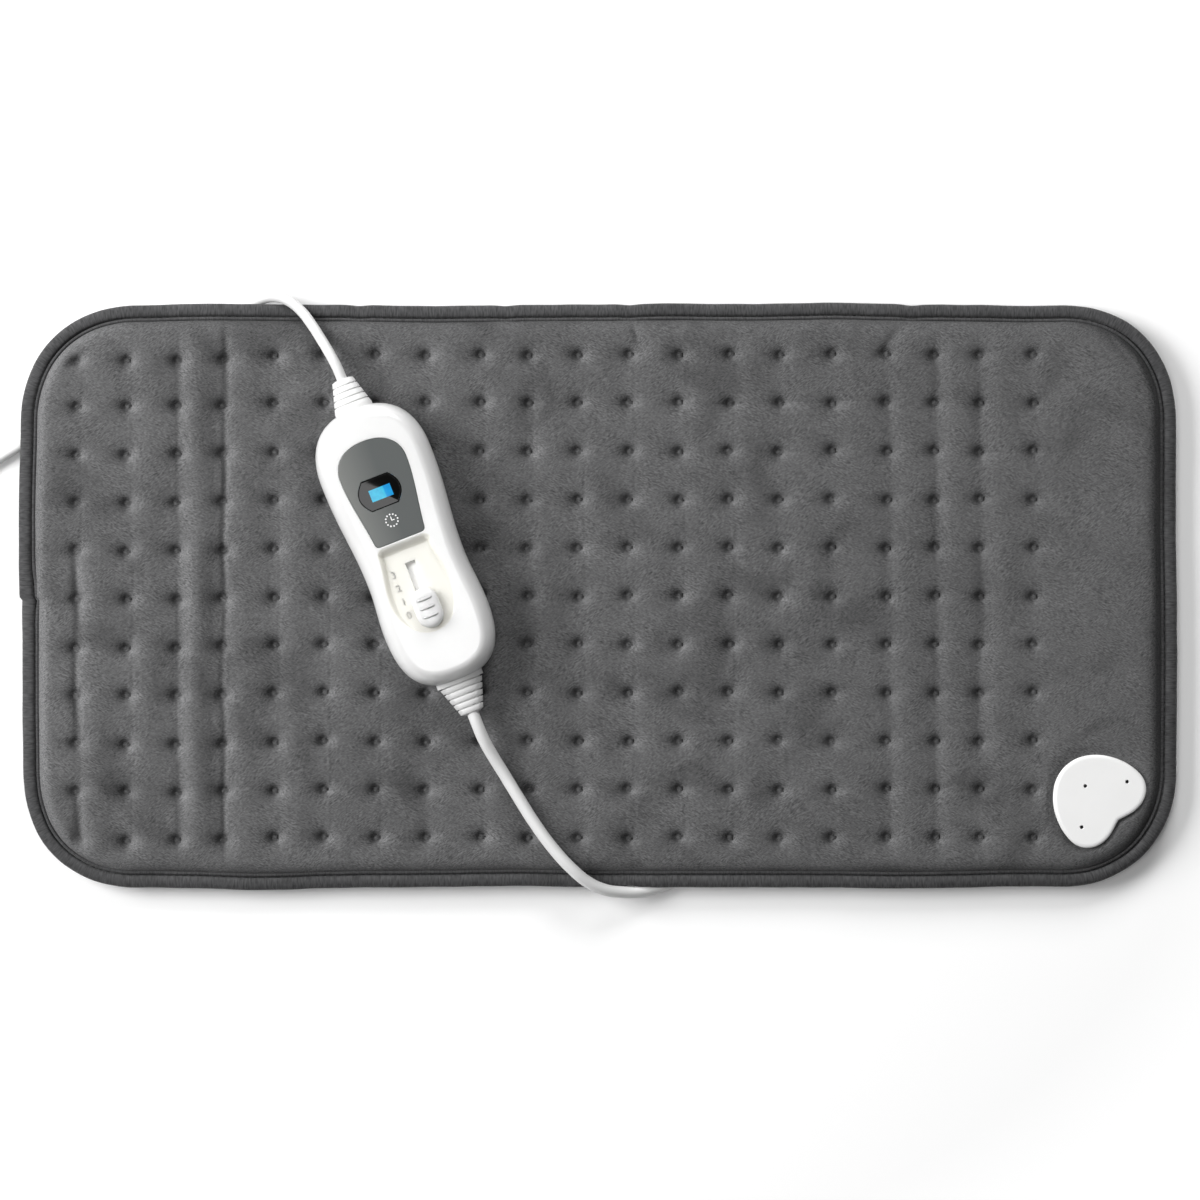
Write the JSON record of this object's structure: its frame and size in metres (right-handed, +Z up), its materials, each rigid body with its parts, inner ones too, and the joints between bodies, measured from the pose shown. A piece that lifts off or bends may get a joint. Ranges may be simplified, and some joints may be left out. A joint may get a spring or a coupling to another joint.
{
  "type": "heating pad with controller",
  "caption": "Quilted electric heating pad with bound edge, corner terminal plate and a wired hand controller that has a display and a heat slider.",
  "frame": {"origin": "the middle of the pad's outline, on the surface that the pad lies on", "axes": "+X along the pad's length towards the terminal plate's end, +Y across the pad towards the edge where the mains lead leaves, +Z up"},
  "size_m": [0.7229, 0.3142, 0.0439],
  "materials": {
    "plush": "short brushed pile",
    "binding": "woven tape",
    "carrier_fleece": "felt",
    "heater_sheath": "matt",
    "white_gloss": "glossy",
    "cord_white": "satin",
    "fascia_grey": "satin",
    "window_black": "polished",
    "display_blue": "lit panel",
    "board_green": "matt",
    "component_dark": "matt",
    "steel": "plated",
    "brass": "plain",
    "strap_black": "woven"
  },
  "bodies": {
    "root": {"pad_bottom_cover": "plush", "pad_top_cover": "plush", "edge_binding": "binding", "heater_carrier": "carrier_fleece", "heater_wire": "heater_sheath", "thermal_cutout": "component_dark", "junction_block": "component_dark", "terminal_plate": "white_gloss", "terminal_housing": "white_gloss", "terminal_rivet_1": "steel", "terminal_rivet_2": "steel", "terminal_rivet_3": "steel", "pad_lead_gland": "cord_white", "upper_shell": "white_gloss", "lower_shell": "white_gloss", "display_fascia": "fascia_grey", "display_window": "window_black", "lcd_panel": "display_blue", "lcd_backlight": "white_gloss", "display_holder": "component_dark", "control_board": "board_green", "triac": "component_dark", "pad_terminal": "component_dark", "capacitor": "component_dark", "mains_terminal": "component_dark", "fuse": "brass", "slide_switch": "component_dark", "case_screw_1": "steel", "case_screw_2": "steel", "case_screw_3": "steel", "case_screw_4": "steel", "mains_cord_boot": "cord_white", "pad_cord_boot": "cord_white", "mains_lead": "cord_white", "pad_lead": "cord_white", "mains_coil": "cord_white", "plug_tail": "cord_white", "coil_tie": "strap_black", "plug_boot": "cord_white", "plug_body": "white_gloss", "plug_pin_1": "steel", "plug_pin_2": "steel"},
    "slider": {"slider_knob": "white_gloss", "slider_shield": "white_gloss", "switch_lever": "component_dark"}
  },
  "joints": [
    {"name": "slider_travel", "type": "slide", "parent": "root", "child": "slider", "axis": [-0.3642, 0.9292, -0.0628], "range_m": [0, 0.022]}
  ]
}
